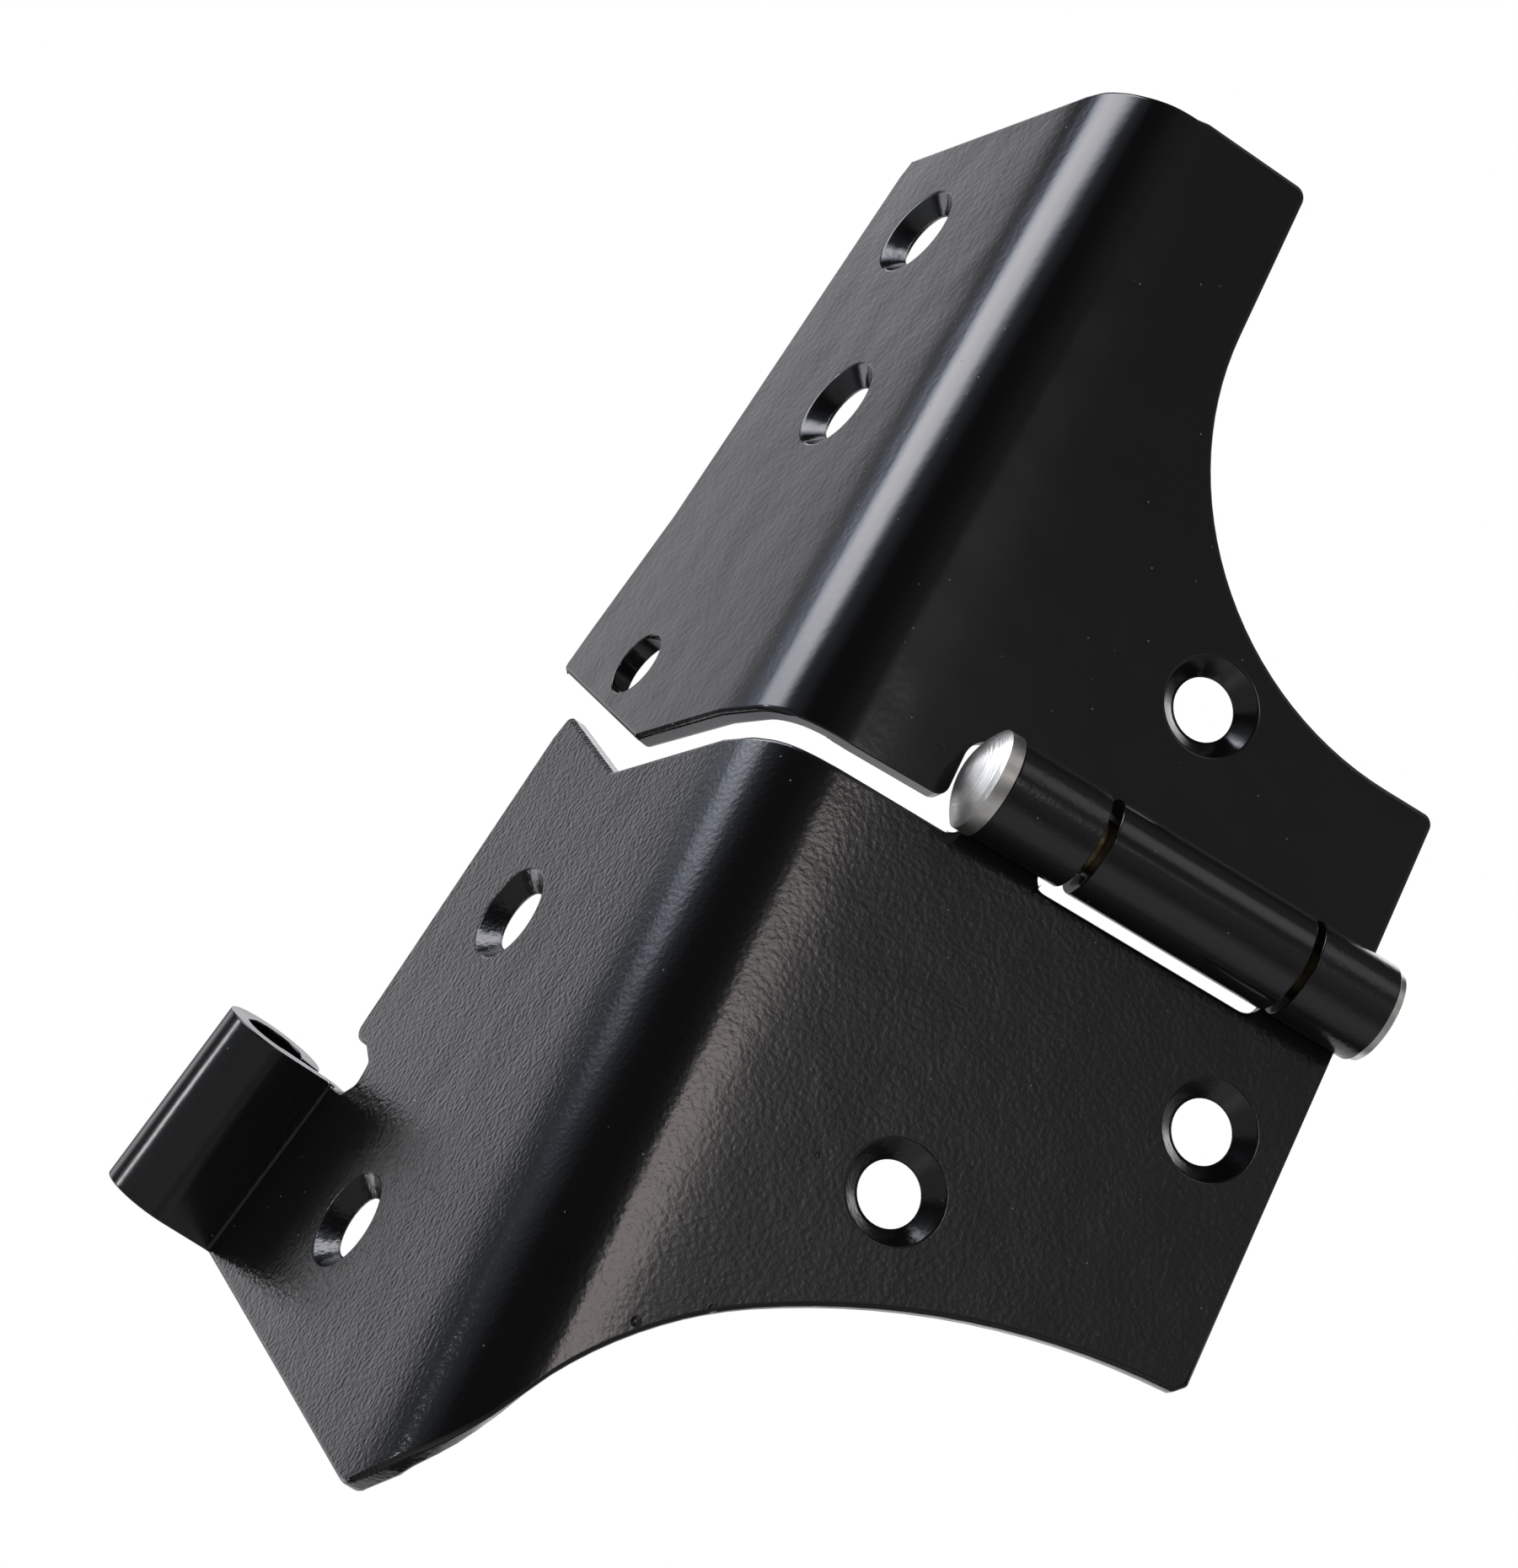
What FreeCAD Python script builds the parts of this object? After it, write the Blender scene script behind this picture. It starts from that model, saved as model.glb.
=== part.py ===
import FreeCAD, Part
import os
from math import sin, cos, tan, acos, radians, sqrt, pi

# Windshield hinge.  Millimetres, +Z up along the front flanges, +X along the
# hinge pin towards its peened end, -Y the painted outside of the front flanges.
# The leaves are drawn about the pin axis, then moved so that the origin is at the
# lower leaf's screw hole under the barrel, on the face that seats on the body.

# sheet, barrel and pin
SHEET = 3.0              # both leaves are folded from the same sheet
PIN_D = 7.9              # 5/16 in class pin
PIN_CLEARANCE = 0.05     # radial, painted bore round the pin
BORE_R = PIN_D / 2 + PIN_CLEARANCE
BARREL_R = BORE_R + SHEET
FACE_Y = BORE_R          # painted outer face of both front flanges
SEAM_GAP = 0.3           # between a knuckle's free end and its own leaf

LEFT_KNUCKLE = (-29.0, -15.4)
MIDDLE_KNUCKLE = (-13.8, 16.8)
RIGHT_KNUCKLE = (18.0, 30.2)

HEAD_D = 14.4            # domed head, left end
HEAD_RIM = 2.0
HEAD_DOME = 2.6
PEEN_D = 13.0            # peened end, right
PEEN_RIM = 0.9
PEEN_DOME = 1.1
HEAD_SEAT = 0.1          # head stands this far off the knuckle

# bend between front flange and side flange
BEND_DEG = 77.0          # angle the sheet is turned through
BEND_R = 12.0            # outside radius, air bent over a wide die
CORNER_X = -56.4         # where the two flange faces would meet, at z = 0
LOWER_LEAN_DEG = 0.0     # lean of the bend from +Z
UPPER_LEAN_DEG = 3.0

# screw holes
SCREW_HOLE_D = 8.8
RIM_D = 13.8             # 90 degree countersink at the outer face
PLAIN_HOLE_D = 9.5

# front flange holes (x, z); side flange holes (e, w): e rearwards from the
# corner line, w along the bend
UPPER_FRONT_HOLES = [(-5.7, 26.8)]
UPPER_SIDE_HOLES = [(39.2, 80.5), (33.9, 49.6)]
UPPER_PLAIN_HOLE = (48.6, 7.4)
LOWER_FRONT_HOLES = [(18.0, -23.7), (-16.9, -51.8)]
LOWER_SIDE_HOLES = [(48.1, -31.7), (50.3, -78.1)]

# upper leaf outline
UP_RIGHT_X = 29.5        # right edge of the wide foot
UP_NECK_X = -23.4        # right edge of the tall neck
UP_TOP_Z = 98.5
UP_TOP_CROWN = (-40.0, 99.1)
UP_FOOT_Z = 30.0         # top of the wide foot
UP_SWEEP_R = 44.8        # arc between foot and neck
UP_LOBE_X = -33.2        # right edge of the lobe that passes the pin head
UP_LOBE_Z = -3.4
UP_NOTCH_Z = 6.6         # clears the knuckles of the other leaf
UP_NOTCH_R = 3.4         # fillet between notch and lobe, round the pin head
UP_CORNER_R = 1.8        # at the top of the neck and the low corner of the lobe
UP_FOOT_R = 1.6          # at the right corner of the foot
# edges over the bend are given at equal angles, front flange first
UP_BEND_TOP_W = [99.4, 99.3, 99.05, 99.0, 99.2]
UP_BEND_LOW_W = [-3.1, -3.1, -3.0, -3.0, -3.0]
UP_SIDE = [(12.5, 99.3), (52.6, 95.9), (53.6, 93.3), (62.9, 34.3),
           (68.2, 14.4), (69.6, 8.3), (37.4, -5.5), (18.0, -3.0)]
UP_SIDE_RADII = {2: 0.9, 5: 1.5, 6: 1.2, 7: 1.2}

# lower leaf outline
LO_RIGHT_X = 29.5
LO_RIGHT_LOW_Z = -56.4
LO_SWEEP = [(-5.4, -63.2), (-27.0, -73.6), (-40.2, -84.6)]
LO_BEND_LOW_W = [-93.4, -96.9, -100.4, -103.3, -105.7, -107.5, -108.9, -110.1, -111.3]
LO_TOP_Z = -7.0          # edge facing the upper leaf
LO_NOTCH_Z = -7.4        # under the middle knuckle
LO_NOTCH_X = -17.4       # relief beside the left knuckle
LO_NOTCH_LEFT_R = 1.8
LO_NOTCH_RIGHT_R = 3.0
LO_RELIEF_R = 2.5        # beside the pin head
LO_CHAMFER = 1.6         # low right corner
KNUCKLE_ROOT_Z = -3.0    # where the outer knuckles leave the flange
LO_BEND_TOP_W = [-7.0, -7.0, -6.9, -6.8, -6.7, -6.7, -6.8, -6.8, -6.9]
LO_SIDE_TOP = [(14.0, -6.8), (39.3, -10.1), (59.3, 0.4), (61.2, -3.2)]
LO_SIDE_REAR = (75.2, -50.2)
LO_RELIEF = [(70.6, -51.6), (67.0, -54.6), (67.4, -57.6), (70.2, -58.9)]
LO_LOW_CORNER_E = 17.5
LO_SIDE_RADII = {2: 1.0, 3: 1.0, 4: 1.0, 5: 2.0, 7: 1.2, 8: 1.2, 12: 4.0}

# door hinge eye on the lower leaf
EYE_LEAN_DEG = 24.0      # lean of its crease from the bend direction
EYE_TOP = (73.9, -57.9)  # upper end of the crease (e, w)
EYE_LENGTH = 28.5
EYE_BORE_D = 8.8
EYE_REACH = 7.6          # bore axis from the outer face of the side flange
EYE_FOLD_R = 0.5         # inside radius of the crease

V = FreeCAD.Vector
X, Y, Z = V(1, 0, 0), V(0, 1, 0), V(0, 0, 1)


def leaf_axes(lean_deg):
    """corner point, bend direction, direction along the side flange, its outward normal"""
    u = V(sin(radians(lean_deg)), 0, cos(radians(lean_deg)))
    lat = V(-cos(radians(lean_deg)), 0, sin(radians(lean_deg)))
    th = radians(BEND_DEG)
    n_side = -Y * cos(th) + lat * sin(th)
    e_side = Y * sin(th) + lat * cos(th)
    return V(CORNER_X, FACE_Y, 0), u, lat, e_side, n_side


SETBACK = BEND_R * tan(radians(BEND_DEG) / 2)


def wire(points, curves=(), radii=()):
    """closed wire; curves: start index -> point on the arc, radii: corner index -> radius"""
    curves, radii = dict(curves), dict(radii)
    n = len(points)
    starts, ends, rounds = list(points), list(points), {}
    for i, r in radii.items():
        p = points[i]
        a, b = (points[i - 1] - p).normalize(), (points[(i + 1) % n] - p).normalize()
        half = acos(a.dot(b)) / 2
        ends[i], starts[i] = p + a * (r / tan(half)), p + b * (r / tan(half))
        middle = (a + b).normalize()
        rounds[i] = p + middle * (r / sin(half) - r)
    edges = []
    for i in range(n):
        j = (i + 1) % n
        if i in rounds:
            edges.append(Part.Arc(ends[i], rounds[i], starts[i]).toShape())
        if i in curves:
            edges.append(Part.Arc(starts[i], curves[i], ends[j]).toShape())
        else:
            edges.append(Part.makeLine(starts[i], ends[j]))
    return Part.Wire(edges)


def slab(points, inward, curves=(), radii=()):
    return Part.Face(wire(points, curves, radii)).extrude(inward * SHEET)


def bend(origin, u, lat, lows, highs):
    """rounded strip between the flanges; its two edges are given at equal angles"""
    c = origin - lat * SETBACK + Y * BEND_R
    th = radians(BEND_DEG)

    def at(a, r, w):
        return c + (-Y * cos(a) + lat * sin(a)) * r + u * w
    base, top = min(lows) - 5, max(highs) + 5
    ring = wire([at(0, BEND_R, base), at(th, BEND_R, base),
                 at(th, BEND_R - SHEET, base), at(0, BEND_R - SHEET, base)],
                {0: at(th / 2, BEND_R, base), 2: at(th / 2, BEND_R - SHEET, base)})
    strip = Part.Face(ring).extrude(u * (top - base))
    r0, r1 = BEND_R - SHEET - 1, BEND_R + 1
    sections = []
    for i, (low, high) in enumerate(zip(lows, highs)):
        a = th * i / (len(lows) - 1)
        sections.append(Part.makePolygon([at(a, r0, low), at(a, r1, low), at(a, r1, high), at(a, r0, high),
                                          at(a, r0, low)]))
    return strip.common(Part.makeLoft(sections, True, True))


def knuckle(x0, x1, side, root_z):
    """tab behind the pin rolled over (side=+1) or under (side=-1) it"""
    end = 2 * pi - acos((FACE_Y - SEAM_GAP) / BARREL_R)

    def at(a, r):
        return V(x0, r * cos(a), side * r * sin(a))
    roll = Part.Face(wire([at(0, BORE_R), at(0, BARREL_R), at(end, BARREL_R), at(end, BORE_R)],
                          {1: at(end / 2, BARREL_R), 3: at(end / 2, BORE_R)})).extrude(X * (x1 - x0))
    tab = Part.makeBox(x1 - x0, SHEET, abs(root_z), V(x0, FACE_Y, min(0, root_z)))
    return roll.fuse(tab)


def countersunk(solid, point, outward):
    depth = (RIM_D - SCREW_HOLE_D) / 2
    hole = Part.makeCylinder(SCREW_HOLE_D / 2, SHEET * 3, point + outward * SHEET, -outward)
    sink = Part.makeCone(RIM_D / 2 + 1, SCREW_HOLE_D / 2, depth + 1, point + outward, -outward)
    return solid.cut(hole.fuse(sink))


def plain(solid, point, outward, d):
    return solid.cut(Part.makeCylinder(d / 2, SHEET * 3, point + outward * SHEET, -outward))


def front(x, z):
    return V(x, FACE_Y, z)


# upper leaf
o, u, lat, e_dir, n_out = leaf_axes(UPPER_LEAN_DEG)


def on_side(e, w):
    return o + e_dir * e + u * w


tangent_top = o - lat * SETBACK + u * UP_BEND_TOP_W[0]
tangent_low = o - lat * SETBACK + u * UP_BEND_LOW_W[0]
sweep_c = (UP_NECK_X + UP_SWEEP_R, UP_FOOT_Z + UP_SWEEP_R)
neck = [tangent_top, front(*UP_TOP_CROWN), front(UP_NECK_X, UP_TOP_Z), front(UP_NECK_X, sweep_c[1]),
        front(sweep_c[0], UP_FOOT_Z), front(UP_RIGHT_X, UP_FOOT_Z), front(UP_RIGHT_X, UP_NOTCH_Z),
        front(UP_LOBE_X, UP_NOTCH_Z), front(UP_LOBE_X, UP_LOBE_Z), tangent_low]
sweep_mid = front(sweep_c[0] - UP_SWEEP_R / sqrt(2), sweep_c[1] - UP_SWEEP_R / sqrt(2))
upper_front = slab(neck, Y, {3: sweep_mid}, {2: UP_CORNER_R, 5: UP_FOOT_R, 7: UP_NOTCH_R, 8: UP_CORNER_R})

side = [(SETBACK, UP_BEND_TOP_W[-1])] + UP_SIDE + [(SETBACK, UP_BEND_LOW_W[-1])]
upper_side = slab([on_side(*p) for p in side], -n_out, radii=UP_SIDE_RADII)

upper = upper_front.fuse([bend(o, u, lat, UP_BEND_LOW_W, UP_BEND_TOP_W), upper_side,
                          knuckle(*MIDDLE_KNUCKLE, -1, UP_NOTCH_Z + 1)])
for x, z in UPPER_FRONT_HOLES:
    upper = countersunk(upper, front(x, z), -Y)
for e, w in UPPER_SIDE_HOLES:
    upper = countersunk(upper, on_side(e, w), n_out)
upper = plain(upper, on_side(*UPPER_PLAIN_HOLE), n_out, PLAIN_HOLE_D)
upper = upper.removeSplitter()

# lower leaf
o, u, lat, e_dir, n_out = leaf_axes(LOWER_LEAN_DEG)

tangent_top = o - lat * SETBACK + u * LO_BEND_TOP_W[0]
tangent_low = o - lat * SETBACK + u * LO_BEND_LOW_W[0]
sweep = [front(*p) for p in LO_SWEEP]
plate = [tangent_top, front(LEFT_KNUCKLE[0], LO_TOP_Z), front(LEFT_KNUCKLE[0], KNUCKLE_ROOT_Z),
         front(LO_NOTCH_X, KNUCKLE_ROOT_Z),
         front(LO_NOTCH_X, LO_NOTCH_Z), front(RIGHT_KNUCKLE[0], LO_NOTCH_Z),
         front(RIGHT_KNUCKLE[0], KNUCKLE_ROOT_Z),
         front(LO_RIGHT_X, KNUCKLE_ROOT_Z), front(LO_RIGHT_X, LO_RIGHT_LOW_Z + LO_CHAMFER),
         front(LO_RIGHT_X - LO_CHAMFER, LO_RIGHT_LOW_Z),
         sweep[1], tangent_low]
lower_front = slab(plate, Y, {9: sweep[0], 10: sweep[2]},
                   {1: LO_RELIEF_R, 4: LO_NOTCH_LEFT_R, 5: LO_NOTCH_RIGHT_R})

# the crease of the door eye leans by EYE_LEAN_DEG; the low edge is square to it
lean = radians(EYE_LEAN_DEG)
crease = (sin(lean), -cos(lean))
eye_low = (EYE_TOP[0] + crease[0] * EYE_LENGTH, EYE_TOP[1] + crease[1] * EYE_LENGTH)
back = (-cos(lean) * EYE_FOLD_R, -sin(lean) * EYE_FOLD_R)
run = (eye_low[0] - LO_LOW_CORNER_E) / cos(lean)
low_corner = (LO_LOW_CORNER_E, eye_low[1] - sin(lean) * run)
side = [(SETBACK, LO_BEND_TOP_W[-1])] + LO_SIDE_TOP + [LO_SIDE_REAR] + LO_RELIEF
side += [(EYE_TOP[0] + back[0], EYE_TOP[1] + back[1]), (eye_low[0] + back[0], eye_low[1] + back[1]),
         low_corner, (SETBACK, LO_BEND_LOW_W[-1])]
lower_side = slab([on_side(*p) for p in side], -n_out, radii=LO_SIDE_RADII)

# door eye: crease, strip and curl drawn square to its axis, then extruded
axis = e_dir * crease[0] + u * crease[1]
r_dir = e_dir * cos(lean) + u * sin(lean)
start = on_side(*EYE_TOP)
EYE_R = EYE_BORE_D / 2 + SHEET


def eye_at(h, r):
    return start + n_out * h + r_dir * r


def round_at(h, r, radius, deg):
    return eye_at(h + radius * sin(radians(deg)), r - radius * cos(radians(deg)))


f = EYE_FOLD_R
fold = Part.Face(wire([eye_at(0, -f), round_at(f, -f, f, 180), round_at(f, -f, f + SHEET, 180),
                       eye_at(-SHEET, -f)],
                      {0: round_at(f, -f, f, 225), 2: round_at(f, -f, f + SHEET, 225)}))
strip = Part.Face(wire([eye_at(f, 0), eye_at(EYE_REACH, 0), eye_at(EYE_REACH, SHEET), eye_at(f, SHEET)]))
turn = 360 - acos((EYE_R - SHEET - SEAM_GAP) / EYE_R) * 180 / pi


def eye_ring(radius, deg):
    return round_at(EYE_REACH, EYE_R, radius, deg)


curl = Part.Face(wire([eye_ring(EYE_R, 0), eye_ring(EYE_R, turn), eye_ring(EYE_R - SHEET, turn),
                       eye_ring(EYE_R - SHEET, 0)],
                      {0: eye_ring(EYE_R, turn / 2), 2: eye_ring(EYE_R - SHEET, turn / 2)}))
eye = [face.extrude(axis * EYE_LENGTH) for face in (fold, strip, curl)]

outer_knuckles = [knuckle(*ends, 1, KNUCKLE_ROOT_Z - 1) for ends in (LEFT_KNUCKLE, RIGHT_KNUCKLE)]
lower_bend = bend(o, u, lat, LO_BEND_LOW_W, LO_BEND_TOP_W)
lower = lower_front.fuse([lower_bend, lower_side] + outer_knuckles + eye)
for x, z in LOWER_FRONT_HOLES:
    lower = countersunk(lower, front(x, z), -Y)
for e, w in LOWER_SIDE_HOLES:
    lower = countersunk(lower, on_side(e, w), n_out)
lower = lower.removeSplitter()

# pin: domed head on the left, peened end on the right
def dome(x, direction, d, rim, rise):
    """turned head: straight rim, then a spherical cap"""
    r = d / 2
    p = [V(x, 0, 0), V(x, 0, r), V(x + direction * rim, 0, r), V(x + direction * (rim + rise), 0, 0)]
    big = (r * r + rise * rise) / (2 * rise)
    a = acos(1 - rise / big) / 2
    mid = V(x + direction * (rim + rise - big * (1 - cos(a))), 0, big * sin(a))
    return Part.Face(wire(p, {2: mid})).revolve(V(0, 0, 0), X, 360)


x0 = LEFT_KNUCKLE[0] - HEAD_SEAT
x1 = RIGHT_KNUCKLE[1] + HEAD_SEAT
shank = Part.makeCylinder(PIN_D / 2, x1 - x0, V(x0, 0, 0), X)
pin = shank.fuse([dome(x0, -1, HEAD_D, HEAD_RIM, HEAD_DOME), dome(x1, 1, PEEN_D, PEEN_RIM, PEEN_DOME)])
pin = pin.removeSplitter()

datum = V(LOWER_FRONT_HOLES[0][0], FACE_Y + SHEET, LOWER_FRONT_HOLES[0][1])
os.makedirs("parts", exist_ok=True)
for name, shape in (("lower_leaf", lower), ("upper_leaf", upper), ("hinge_pin", pin)):
    if shape.ShapeType == "Compound" and len(shape.Solids) == 1:
        shape = shape.Solids[0]
    shape.translate(-datum)
    print(name, shape.ShapeType, len(shape.Solids), shape.isValid(), round(shape.Volume, 1), shape.BoundBox)
    shape.exportStep("parts/%s.step" % name)
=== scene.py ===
from math import cos, radians, sin, tan

import bmesh
import bpy
from mathutils import Matrix, Vector


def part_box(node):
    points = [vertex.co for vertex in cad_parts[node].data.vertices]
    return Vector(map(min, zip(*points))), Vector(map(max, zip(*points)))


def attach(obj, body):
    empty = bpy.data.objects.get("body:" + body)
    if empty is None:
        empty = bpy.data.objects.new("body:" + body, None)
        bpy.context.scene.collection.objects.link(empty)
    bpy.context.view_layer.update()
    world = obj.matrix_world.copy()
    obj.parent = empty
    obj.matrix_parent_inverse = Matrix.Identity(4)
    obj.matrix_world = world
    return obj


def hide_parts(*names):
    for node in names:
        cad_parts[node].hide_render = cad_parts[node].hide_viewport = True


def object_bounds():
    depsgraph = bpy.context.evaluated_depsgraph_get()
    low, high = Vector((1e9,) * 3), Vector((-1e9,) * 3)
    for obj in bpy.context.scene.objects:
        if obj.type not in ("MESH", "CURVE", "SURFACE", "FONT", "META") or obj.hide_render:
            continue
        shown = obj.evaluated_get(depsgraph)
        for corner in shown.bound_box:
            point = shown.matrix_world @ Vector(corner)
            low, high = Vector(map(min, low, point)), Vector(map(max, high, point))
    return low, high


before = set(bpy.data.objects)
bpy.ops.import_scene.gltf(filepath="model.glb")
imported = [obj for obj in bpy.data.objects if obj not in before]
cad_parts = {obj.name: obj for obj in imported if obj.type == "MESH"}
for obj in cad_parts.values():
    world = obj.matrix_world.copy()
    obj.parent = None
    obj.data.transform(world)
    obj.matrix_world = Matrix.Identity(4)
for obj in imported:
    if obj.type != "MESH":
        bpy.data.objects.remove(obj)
cad_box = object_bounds()

MM = 0.001


# lower leaf
# One folded steel sheet with the outer knuckles of the barrel and the rolled door
# eye.  It is powder coated after folding, so the coating runs round every edge and
# shows a clear orange peel.

MERGE = 0.04 * MM            # points of the CAD's mesh this close become one
FLAT_ANGLE = 0.006           # radians; faces that meet flatter become one
SQUARE_ANGLE = 1.2           # radians; a square edge turns more
SQUARE_ROUND = 0.75 * MM     # the sheared outline and the back rims of the screw holes
SHARP_ANGLE = 0.6            # radians; a sharp edge turns more, and flatter joins are tangent
SHARP_ROUND = 0.25 * MM      # knuckles, eye, plain hole and the front rims
ROUND_STEPS = 4
ROUND_PROFILE = 0.5          # a circular arc
KNUCKLE_REACH = 8 * MM       # from the pin's axis
EYE_X = -92 * MM             # the door eye lies left of this
PLAIN_HOLE = Vector((-83.5, 44.7, 31.6)) * MM       # in the upper leaf
PLAIN_HOLE_REACH = 6 * MM

pin_low, pin_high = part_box("hinge_pin")
pin_middle = (pin_low + pin_high) / 2


def is_square(edge):
    """true on a square edge, away from the knuckles, the eye and the plain hole"""
    middle = (edge.verts[0].co + edge.verts[1].co) / 2
    near_pin = (middle - pin_middle).yz.length < KNUCKLE_REACH
    near_hole = (middle - PLAIN_HOLE).length < PLAIN_HOLE_REACH
    square = edge.calc_face_angle(0.0) > SQUARE_ANGLE
    return square and middle.x > EYE_X and not near_pin and not near_hole


def is_sharp(edge):
    """true on every edge that is still sharp once the square ones are round"""
    return edge.calc_face_angle(0.0) > SHARP_ANGLE


def piece_from(bm, name):
    """an object in the scene made of a bmesh, which is used up"""
    mesh = bpy.data.meshes.new(name)
    bm.to_mesh(mesh)
    bm.free()
    piece = bpy.data.objects.new(name, mesh)
    bpy.context.scene.collection.objects.link(piece)
    return piece


def coated_sheet(name):
    """the node's own sheet with its edges rounded by blanking and coating"""
    bm = bmesh.new()
    bm.from_mesh(bpy.data.objects[name].data)
    bmesh.ops.remove_doubles(bm, verts=bm.verts, dist=MERGE)
    bmesh.ops.dissolve_limit(bm, angle_limit=FLAT_ANGLE, verts=bm.verts, edges=bm.edges)
    for chosen, size in ((is_square, SQUARE_ROUND), (is_sharp, SHARP_ROUND)):
        edges = [edge for edge in bm.edges if edge.is_manifold and chosen(edge)]
        bmesh.ops.bevel(bm, geom=edges, offset=size, segments=ROUND_STEPS,
                        profile=ROUND_PROFILE, affect="EDGES", material=-1,
                        clamp_overlap=False, loop_slide=True)
    for face in bm.faces:
        face.smooth = True
    piece = piece_from(bm, name + "_coated")
    weighted = piece.modifiers.new("flat faces stay flat", "WEIGHTED_NORMAL")
    weighted.keep_sharp = True
    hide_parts(name)
    return piece


def feed(tree, slot, value):
    """links a varying value to a node's socket, or types a plain one into it"""
    if isinstance(value, Value):
        tree.links.new(value.socket, slot)
    else:
        slot.default_value = value


class Value:
    """a number that varies over a surface; operators add its Math nodes"""

    def __init__(self, tree, socket):
        self.tree = tree
        self.socket = socket

    def math(self, operation, *terms):
        """one Math node"""
        node = self.tree.nodes.new("ShaderNodeMath")
        node.operation = operation
        for slot, term in zip(node.inputs, terms):
            feed(self.tree, slot, term)
        return Value(self.tree, node.outputs[0])

    def __add__(self, other):
        return self.math("ADD", self, other)

    def __radd__(self, other):
        return self.math("ADD", other, self)

    def __sub__(self, other):
        return self.math("SUBTRACT", self, other)

    def __rsub__(self, other):
        return self.math("SUBTRACT", other, self)

    def __mul__(self, other):
        return self.math("MULTIPLY", self, other)

    def __rmul__(self, other):
        return self.math("MULTIPLY", other, self)


class Finish:
    """the nodes of one material or world, and the one method that adds them"""

    def __init__(self, owner, place="Object"):
        self.owner = owner
        owner.use_nodes = True
        self.tree = owner.node_tree
        self.tree.nodes.clear()
        self.place = self.add("ShaderNodeTexCoord", out=place)
        split = self.add("ShaderNodeSeparateXYZ", inputs=[self.place])
        self.x, self.y, self.z = [Value(self.tree, part) for part in split.socket.node.outputs]

    def add(self, kind, settings=None, out=0, inputs=(), **sockets):
        """one node: its settings, then its sockets in order or by name"""
        node = self.tree.nodes.new(kind)
        for key, value in (settings or {}).items():
            setattr(node, key, value)
        for slot, value in zip(node.inputs, inputs):
            feed(self.tree, slot, value)
        for name, value in sockets.items():
            feed(self.tree, node.inputs[name.replace("_", " ")], value)
        return Value(self.tree, node.outputs[out]) if node.outputs else None

    def noise(self, size, detail, roughness):
        """a noise whose largest waves are about this size"""
        return self.add("ShaderNodeTexNoise", Vector=self.place, Scale=1 / size, Detail=detail,
                        Roughness=roughness)

    def steps(self, value, low, high):
        """0 under low, 1 over high, smooth between"""
        return self.add("ShaderNodeMapRange", {"interpolation_type": "SMOOTHSTEP"},
                        inputs=[value, low, high, 0.0, 1.0])

    def near(self, spot, inner, outer):
        """1 within the inner distance of a spot, 0 beyond the outer one"""
        away = self.add("ShaderNodeVectorMath", {"operation": "DISTANCE"}, out="Value",
                        inputs=[self.place, tuple(spot)])
        return 1 - self.steps(away, inner, outer)

    def mix(self, factor, first, second):
        """one colour into another: sockets 6 and 7 and output 2 of a Mix node are its colours"""
        mixed = self.add("ShaderNodeMix", {"data_type": "RGBA"}, out=2)
        slots = mixed.socket.node.inputs
        for slot, value in ((slots[0], factor), (slots[6], first), (slots[7], second)):
            feed(self.tree, slot, value)
        return mixed

    def bump(self, height, distance, over=None):
        """relief of this distance for a height of 1, on top of another normal"""
        under = {"Normal": over} if over else {}
        return self.add("ShaderNodeBump", Distance=distance, Height=height, **under)

    def close(self, shader):
        """adds the output node and gives the material or world back"""
        kind = "World" if isinstance(self.owner, bpy.types.World) else "Material"
        self.add("ShaderNodeOutput" + kind, Surface=shader)
        return self.owner

    def principled(self, **sockets):
        """closes with one Principled shader"""
        return self.close(self.add("ShaderNodeBsdfPrincipled", **sockets))


BEND_R = 12 * MM
CORNER = Vector((-74.4, -3.0, 23.7)) * MM       # where the flange faces would meet
TURN = radians(77)
RUN_OUT = 5 * MM             # the sheet goes flat this slowly beside its bend
RUN_OUT_SLOPE = 0.10


def run_out(coat, lean):
    """height whose slope eases the flat flanges into the bend"""
    along_front = Vector((cos(lean), 0, -sin(lean)))
    along_side = Vector((0, 1, 0)) * sin(TURN) - along_front * cos(TURN)
    setback = BEND_R * tan(TURN / 2)
    height = 0
    for along in (along_front, along_side):
        start = CORNER + along * setback
        past = coat.x * along.x + coat.y * along.y + coat.z * along.z - start.dot(along)
        height = past.math("TANH", past * (1 / RUN_OUT)) + height
    return height


BLACK = (0.0026, 0.0026, 0.0029, 1)
DUST = (0.16, 0.155, 0.15, 1)

PEEL_ON_EYE = 0.25           # the orange peel is faint on the door eye,
PEEL_ON_SHEET = 0.6          # stronger by this on the rest of the sheet,
PEEL_ON_SIDE = 1.2           # and by this as well on the side flange
EYE_FADE = 5 * MM
SIDE_FADE = 8 * MM           # from the back of the front flange
WAVE_SIZE = 9 * MM
WAVE_DEPTH = 0.08 * MM

SPECK_CELL = 2.5 * MM        # a cell holds one speck of dust at most,
SPECK_RADIUS = (0.025, 0.055)       # in cells, and it fades between the two
SPECK_PATCH = 7 * MM         # specks come in patches of about this size,
SPECK_LEVEL = (0.49, 0.53)   # where the noise of the patches is above this
SPECK_HEIGHT = 0.05 * MM
SPECK_ROUGHNESS = 0.3
GLOSS_PATCH = 14 * MM
GLOSS_SPREAD = 0.05
NIB_TOP = 0.2                # the top of a nib, as a share of its radius


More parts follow.
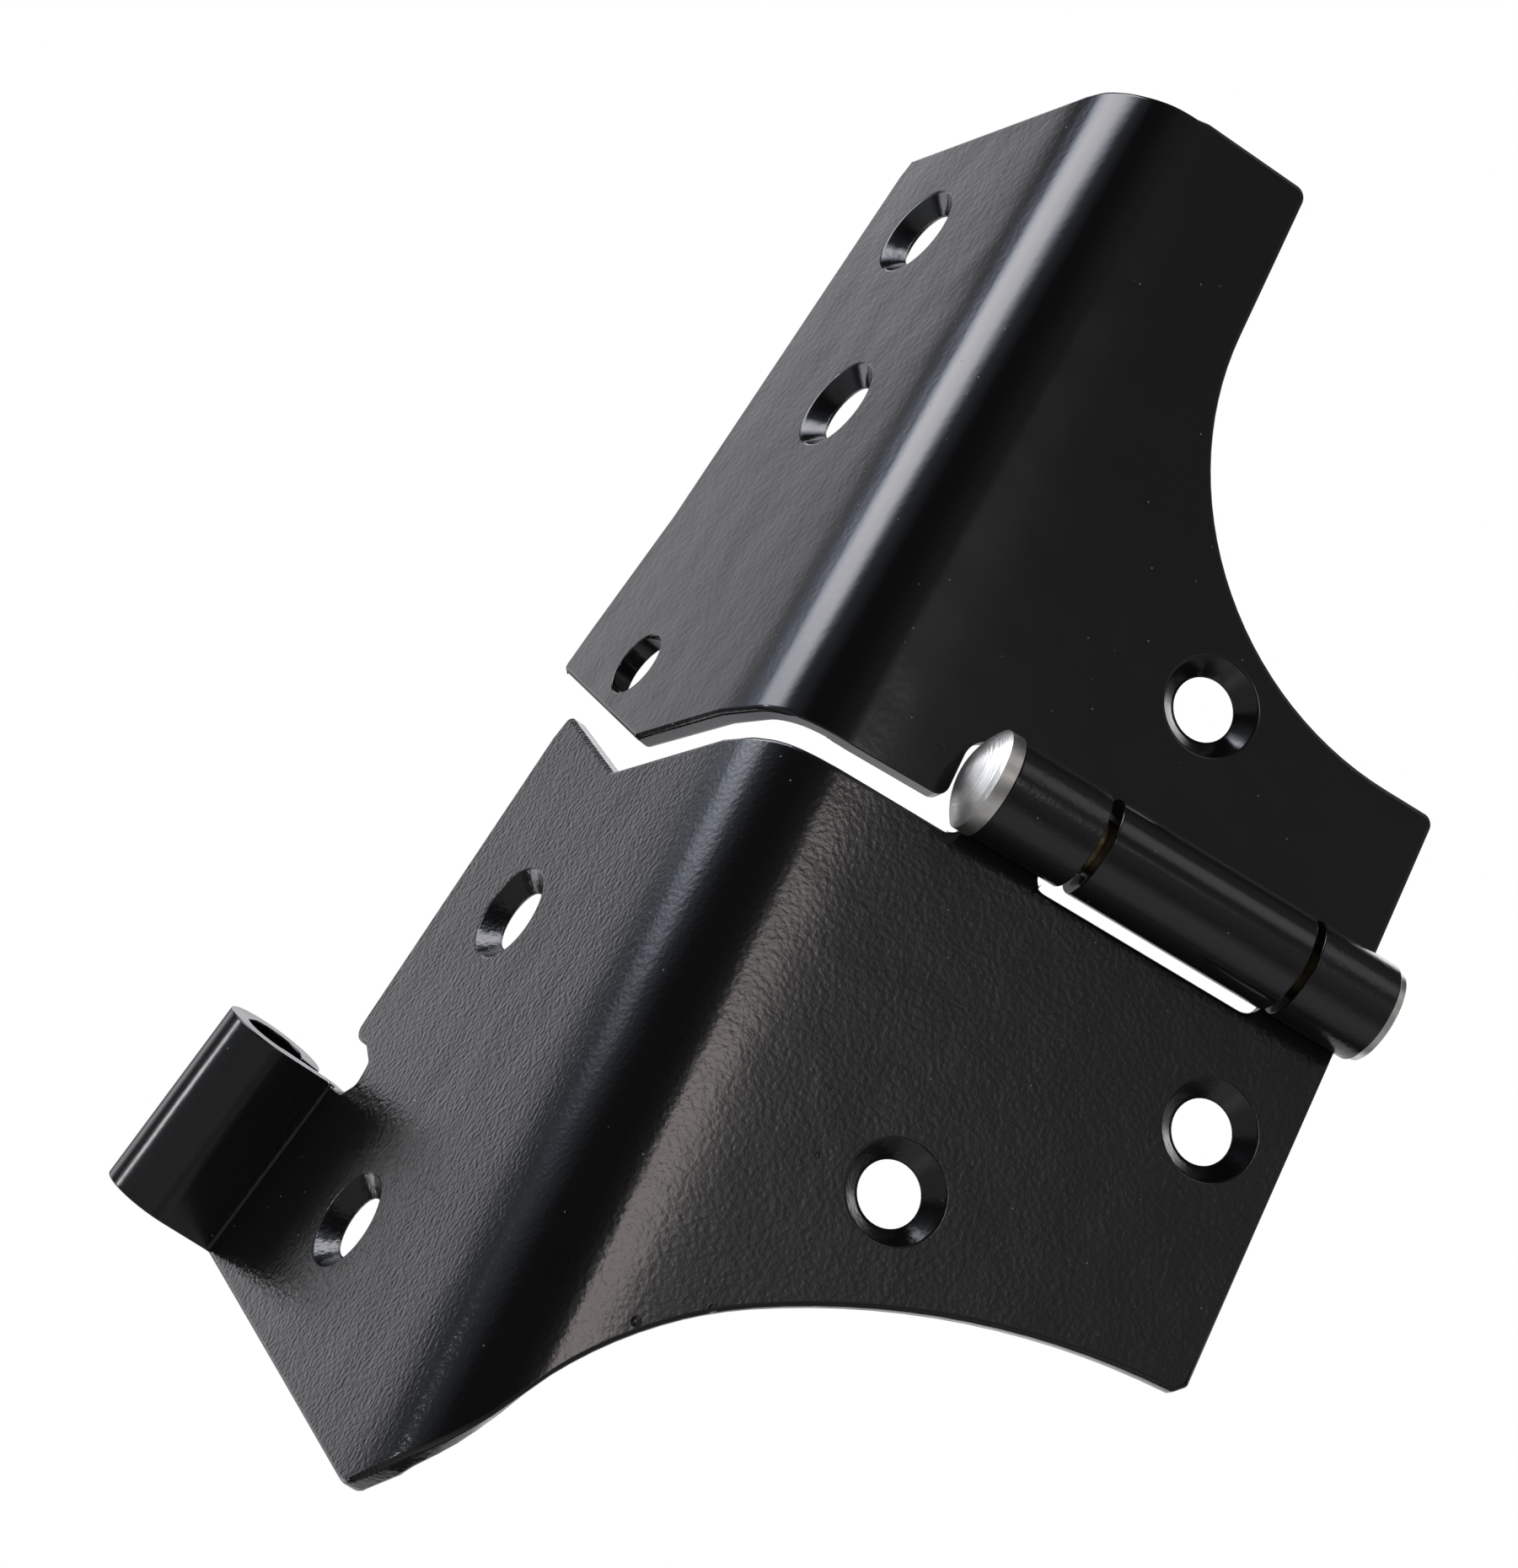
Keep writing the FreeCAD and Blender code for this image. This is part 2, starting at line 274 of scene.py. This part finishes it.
def powder_coat(name, lean, peel_depth, peel_size, gloss, nibs=()):
    """black powder coat: orange peel, slow waviness, dust and a few nibs"""
    coat = Finish(bpy.data.materials.new(name))
    sheet = coat.steps(coat.x, EYE_X - EYE_FADE, EYE_X)
    side = coat.steps(coat.y, 0.0, SIDE_FADE)
    strength = PEEL_ON_EYE + sheet * (PEEL_ON_SHEET + PEEL_ON_SIDE * side)
    peel = coat.noise(peel_size, detail=1.5, roughness=0.4) * strength
    waves = coat.noise(WAVE_SIZE, detail=1.0, roughness=0.4)
    cells = coat.add("ShaderNodeTexVoronoi", Vector=coat.place, Scale=1 / SPECK_CELL)
    patches = coat.noise(SPECK_PATCH, detail=2.0, roughness=0.6)
    speck = (1 - coat.steps(cells, *SPECK_RADIUS)) * coat.steps(patches, *SPECK_LEVEL)
    normal = coat.bump(run_out(coat, lean), RUN_OUT * RUN_OUT_SLOPE)
    normal = coat.bump(peel, peel_depth, over=normal)
    normal = coat.bump(waves, WAVE_DEPTH, over=normal)
    normal = coat.bump(speck, SPECK_HEIGHT, over=normal)
    for place, radius, height in nibs:
        nib = coat.near(Vector(place) * MM, NIB_TOP * radius * MM, radius * MM)
        normal = coat.bump(nib, height * MM, over=normal)
    cloudy = coat.noise(GLOSS_PATCH, detail=3.0, roughness=0.6)
    roughness = gloss + GLOSS_SPREAD * cloudy + SPECK_ROUGHNESS * speck
    colour = coat.mix(speck, BLACK, DUST)
    return coat.principled(Base_Color=colour, Roughness=roughness, Normal=normal)


# in mm: the place of each nib or pit on the front flange, its radius and its height
LOWER_NIBS = [
    ((-58.2, -3, -58.7), 0.8, 0.14),
    ((-50.1, -3, -52.7), 0.7, 0.14),
    ((-46.3, -3, -29.0), 0.5, -0.10),
    ((-48.6, -3, -20.6), 0.4, 0.08),
]

lower = coated_sheet("lower_leaf")
lower.data.materials.append(powder_coat("lower_powder_coat", lean=0.0, peel_depth=0.036 * MM,
                                        peel_size=0.66 * MM, gloss=0.17, nibs=LOWER_NIBS))
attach(lower, "lower_leaf")


# upper leaf
# The leaf that carries the windshield frame: one folded sheet with the middle
# knuckle.  Same coating, but it has flowed out smoother.

upper = coated_sheet("upper_leaf")
upper.data.materials.append(powder_coat("upper_powder_coat", lean=radians(3),
                                        peel_depth=0.010 * MM, peel_size=1.0 * MM, gloss=0.10))
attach(upper, "upper_leaf")


# hinge pin
# Turned steel pin, zinc plated: a domed head with fine turning rings at the left
# end, and the right end peened over the knuckle.  Its shank, seen in the gaps
# between the knuckles, is painted dark brown: partly oiled steel, partly painted
# shade of the narrow gaps.

ZINC = (0.66, 0.65, 0.63, 1)
WORN_ZINC = (0.50, 0.49, 0.47, 1)
# the shank's colour: dark oiled steel, with the painted shade of the narrow knuckle gaps in it
OILED_STEEL_AND_GAP_SHADE = (0.20, 0.15, 0.09, 1)
HEAD_SEAT_X = -47.1 * MM     # the shank shows between this
PEEN_SEAT_X = 12.3 * MM      # and this
SEAT_FADE = 0.3 * MM
RINGS_PER_MM = 3.0
RING_DEPTH = 0.08 * MM
MOTTLE_SIZE = 2.5 * MM
MOTTLE_DEPTH = 0.05 * MM
WORN_LEVEL = (0.35, 0.7)     # the mottle below this is worn, and above it plated
ZINC_ROUGHNESS = 0.30
MOTTLE_ROUGHNESS = 0.15


def turned_zinc():
    """zinc plate, mottled, with turning rings round the pin's axis; the shank is painted dark, as
    oiled steel and as painted shade in the knuckle gaps
    """
    zinc = Finish(bpy.data.materials.new("turned_zinc"))
    centred = zinc.add("ShaderNodeMapping", Vector=zinc.place,
                       Location=(0, -pin_middle.y, -pin_middle.z))
    across = zinc.add("ShaderNodeVectorMath", {"operation": "MULTIPLY"}, inputs=[centred, (0, 1, 1)])
    radius = zinc.add("ShaderNodeVectorMath", {"operation": "LENGTH"}, out="Value", inputs=[across])
    rings = zinc.add("ShaderNodeTexNoise", {"noise_dimensions": "1D"}, W=radius * (1 / MM),
                     Scale=RINGS_PER_MM, Detail=3.0, Roughness=0.7)
    mottle = zinc.noise(MOTTLE_SIZE, detail=4.0, roughness=0.6)
    # the shank between the two seats gets the dark colour, which paints in the shade of the knuckle
    # gaps as well as oil
    shaded_shank = zinc.steps(zinc.x, HEAD_SEAT_X, HEAD_SEAT_X + SEAT_FADE)
    shaded_shank = shaded_shank * (1 - zinc.steps(zinc.x, PEEN_SEAT_X - SEAT_FADE, PEEN_SEAT_X))
    normal = zinc.bump(rings, RING_DEPTH)
    normal = zinc.bump(mottle, MOTTLE_DEPTH, over=normal)
    plate = zinc.mix(zinc.steps(mottle, *WORN_LEVEL), WORN_ZINC, ZINC)
    return zinc.principled(Base_Color=zinc.mix(shaded_shank, plate, OILED_STEEL_AND_GAP_SHADE), Metallic=1.0,
                           Roughness=ZINC_ROUGHNESS + MOTTLE_ROUGHNESS * mottle, Normal=normal)


pin = bpy.data.objects["hinge_pin"]
pin.data.materials.clear()
pin.data.materials.append(turned_zinc())


# studio
# A pale floor under the hinge, which its mounting holds up, and a white room
# round it.  Shiny surfaces see that white only behind the hinge, and elsewhere a
# dim room with a soft box on the left and a small lit patch in front.

FLOOR_DROP = 140 * MM
FLOOR_HALF = 6.0
FLOOR_GREY = (0.82, 0.82, 0.82, 1)


def plane(name, half_wide, half_high, shift):
    """a flat rectangle, shifted off its own origin"""
    bm = bmesh.new()
    bmesh.ops.create_grid(bm, x_segments=1, y_segments=1, size=1.0)
    bmesh.ops.scale(bm, verts=bm.verts, vec=(half_wide, half_high, 1))
    bmesh.ops.translate(bm, verts=bm.verts, vec=shift)
    return piece_from(bm, name)


floor = plane("floor", FLOOR_HALF, FLOOR_HALF, (0, 0, cad_box[0][2] - FLOOR_DROP))
floor.visible_glossy = False         # what it would mirror is in the room below
paint = Finish(bpy.data.materials.new("pale_floor"))
floor.data.materials.append(paint.principled(Base_Color=FLOOR_GREY, Roughness=0.9))

# The soft box on the left gives the long bright line along both bends.  Each pair
# says over which stretch of its plane the light fades on that side.
BOX_AT = Vector((-290, 75, 124)) * MM
BOX_AIM = Vector((-38, -3, 34)) * MM
BOX_TURN = radians(16)
BOX_LEVEL = 7.8
BOX_HALF_WIDE = 0.20
BOX_HALF_HIGH = 0.34
BOX_SHIFT = (-0.06, -0.05, 0)
CLOTH_FRONT = (-0.118, -0.035)
CLOTH_BACK = (0.005, 0.136)
CLOTH_FOOT = (-0.111, 0.060)
CLOTH_TOP = (0.236, 0.286)
CLOTH_TINT = (0.96, 0.95, 1.0, 1)
SPILL_FRONT = (-0.257, -0.094)       # the faint light round the cloth
SPILL_FOOT = (-0.388, -0.060)
SPILL_SHARE = 0.043
SPILL_TINT = (0.72, 0.82, 1.0, 1)

soft_box = plane("soft_box", BOX_HALF_WIDE, BOX_HALF_HIGH, BOX_SHIFT)
facing = (BOX_AIM - BOX_AT).to_track_quat("Z", "Y").to_matrix().to_4x4()
soft_box.matrix_world = Matrix.Translation(BOX_AT) @ facing @ Matrix.Rotation(BOX_TURN, 4, "Z")
soft_box.visible_camera = False
soft_box.visible_diffuse = False
soft_box.visible_shadow = False
cloth = Finish(bpy.data.materials.new("lit_cloth"))
inside = (1 - cloth.steps(cloth.x, *CLOTH_BACK)) * (1 - cloth.steps(cloth.y, *CLOTH_TOP))
bright = cloth.steps(cloth.x, *CLOTH_FRONT) * cloth.steps(cloth.y, *CLOTH_FOOT) * inside
spill = cloth.steps(cloth.x, *SPILL_FRONT) * cloth.steps(cloth.y, *SPILL_FOOT) * inside
lit = cloth.add("ShaderNodeEmission", Color=cloth.mix(bright, SPILL_TINT, CLOTH_TINT),
                Strength=BOX_LEVEL)
clear = cloth.add("ShaderNodeBsdfTransparent")
glowing = cloth.add("ShaderNodeMixShader", inputs=[bright + spill * SPILL_SHARE, clear, lit])
soft_box.data.materials.append(cloth.close(glowing))

# The room by direction.  Each pair says between which two values of x, y or z a
# part of it fades.  A lamp is full within one distance of its direction and gone
# beyond the other.
WHITE = (1, 1, 1, 1)
COOL_WHITE = (0.96, 0.96, 1, 1)
WARM_WHITE = (1.0, 0.90, 0.87, 1)

BACKDROP_X = 0.25            # it lies behind, a little to the right
BACKDROP_Y = 0.97
BACKDROP_EDGE = (0.42, 0.66)
BAND_FOOT = (-0.15, 0.05)    # a level band of it is dimmer, except far left
BAND_TOP = (0.45, 0.60)
BAND_LEFT = (-0.45, -0.30)
BAND_CUT = 0.8
LOW_RIGHT_TOP = (0.05, 0.20)         # and so is its lower right, measured down
LOW_RIGHT_LEFT = (-0.35, -0.05)
LOW_RIGHT_CUT = 0.65

PATCH_AT = (0.071, -0.972, 0.224)
PATCH_TOP = (0.285, 0.325)
PATCH_LEVEL = 5.8
LOW_LEFT_TOP = (0.0, 0.30)   # light from low on the left, measured down
LOW_LEFT_RIGHT = (-0.15, 0.15)
LOW_LEFT_BACK = (0.30, 0.50)
LOW_LEFT_LEVEL = 0.30
DIM_LEVEL = 0.034

MIRRORED_WHITE = 0.40        # a mirror sees the backdrop brighter by this,
LIFT_LEVEL = 0.55            # and by this again
LIFT_HIGH = (0.40, 0.50)     # high up,
LIFT_RIGHT = (0.1, 0.7)      # twice on the right
LIFT_LOW = (0.1, 0.35)       # and twice low down, measured down


def lamp(room, towards, full, gone, level):
    """light from round one direction of the room"""
    return room.near(towards, full, gone) * level


room = Finish(bpy.data.worlds.new("studio"), "Generated")
room.owner.cycles.sampling_method = "NONE"      # what a ray sees depends on its kind
bpy.context.scene.world = room.owner
down = room.z * -1

backdrop = room.steps(room.x * BACKDROP_X + room.y * BACKDROP_Y, *BACKDROP_EDGE)
band = room.steps(room.z, *BAND_FOOT) * (1 - room.steps(room.z, *BAND_TOP))
backdrop = backdrop * (1 - BAND_CUT * room.steps(room.x, *BAND_LEFT) * band)
cut = LOW_RIGHT_CUT * room.steps(down, *LOW_RIGHT_TOP) * room.steps(room.x, *LOW_RIGHT_LEFT)
backdrop = backdrop * (1 - cut)

patch = room.near(PATCH_AT, inner=0.07, outer=0.13) * (1 - room.steps(room.z, *PATCH_TOP))
halo = lamp(room, PATCH_AT, full=0.17, gone=0.27, level=0.2)
beside = lamp(room, (0.24, -0.945, 0.22), full=0.03, gone=0.10, level=0.65)
table = lamp(room, (0.18, -0.42, -0.89), full=0.20, gone=0.70, level=0.45)
right = lamp(room, (0.82, -0.54, -0.19), full=0.50, gone=0.96, level=0.2)
overhead = lamp(room, (0.30, -0.60, 0.74), full=0.10, gone=0.34, level=0.8)
ceiling = lamp(room, (0.41, -0.69, 0.60), full=0.54, gone=1.04, level=0.13)
far_left = lamp(room, (-0.96, 0.28, 0.03), full=0.02, gone=0.085, level=24)
low_left = room.steps(down, *LOW_LEFT_TOP) * (1 - room.steps(room.x, *LOW_LEFT_RIGHT))
low_left = low_left * (1 - room.steps(room.y, *LOW_LEFT_BACK)) * LOW_LEFT_LEVEL
level = low_left + patch * PATCH_LEVEL + halo + beside
level = level + table + right + overhead + ceiling + far_left + DIM_LEVEL
dim = room.add("ShaderNodeBackground", Color=room.mix(patch, WHITE, WARM_WHITE), Strength=level)

mirrored = room.add("ShaderNodeLightPath", out="Is Glossy Ray")
lift = room.steps(room.z, *LIFT_HIGH)
lift = lift + room.steps(room.x, *LIFT_RIGHT) * 2 + room.steps(down, *LIFT_LOW) * 2
white = room.add("ShaderNodeBackground", Color=room.mix(mirrored, WHITE, COOL_WHITE),
                 Strength=mirrored * (MIRRORED_WHITE + lift * LIFT_LEVEL) + 1)
room.close(room.add("ShaderNodeMixShader", inputs=[mirrored * (1 - backdrop), white, dim]))


# camera
# Close, below the hinge and rolled, as the photograph was taken: solved from the
# rims of the holes, the bends and the thickness of the sheet.

CAMERA_AT = Vector((-214.75, -559.56, -185.85)) * MM
ACROSS = Vector((0.8362, -0.3573, 0.4160))
DOWN = Vector((0.4968, 0.1724, -0.8506))
FORWARD = Vector((0.2321, 0.9180, 0.3217))
FOCAL_PX = 5715.7
PHOTO_HIGH_PX = 1860
SENSOR_HIGH_MM = 24.0
CLIP_START = 10 * MM

lens = bpy.data.cameras.new("photo_camera")
lens.sensor_fit = "VERTICAL"
lens.sensor_height = SENSOR_HIGH_MM
lens.lens = FOCAL_PX / PHOTO_HIGH_PX * SENSOR_HIGH_MM
lens.clip_start = CLIP_START
camera = bpy.data.objects.new("photo_camera", lens)
turned = Matrix((ACROSS, -DOWN, -FORWARD)).transposed().to_4x4()
camera.matrix_world = Matrix.Translation(CAMERA_AT) @ turned
bpy.context.scene.collection.objects.link(camera)
bpy.context.scene.camera = camera
bpy.context.scene.view_settings.view_transform = "Standard"
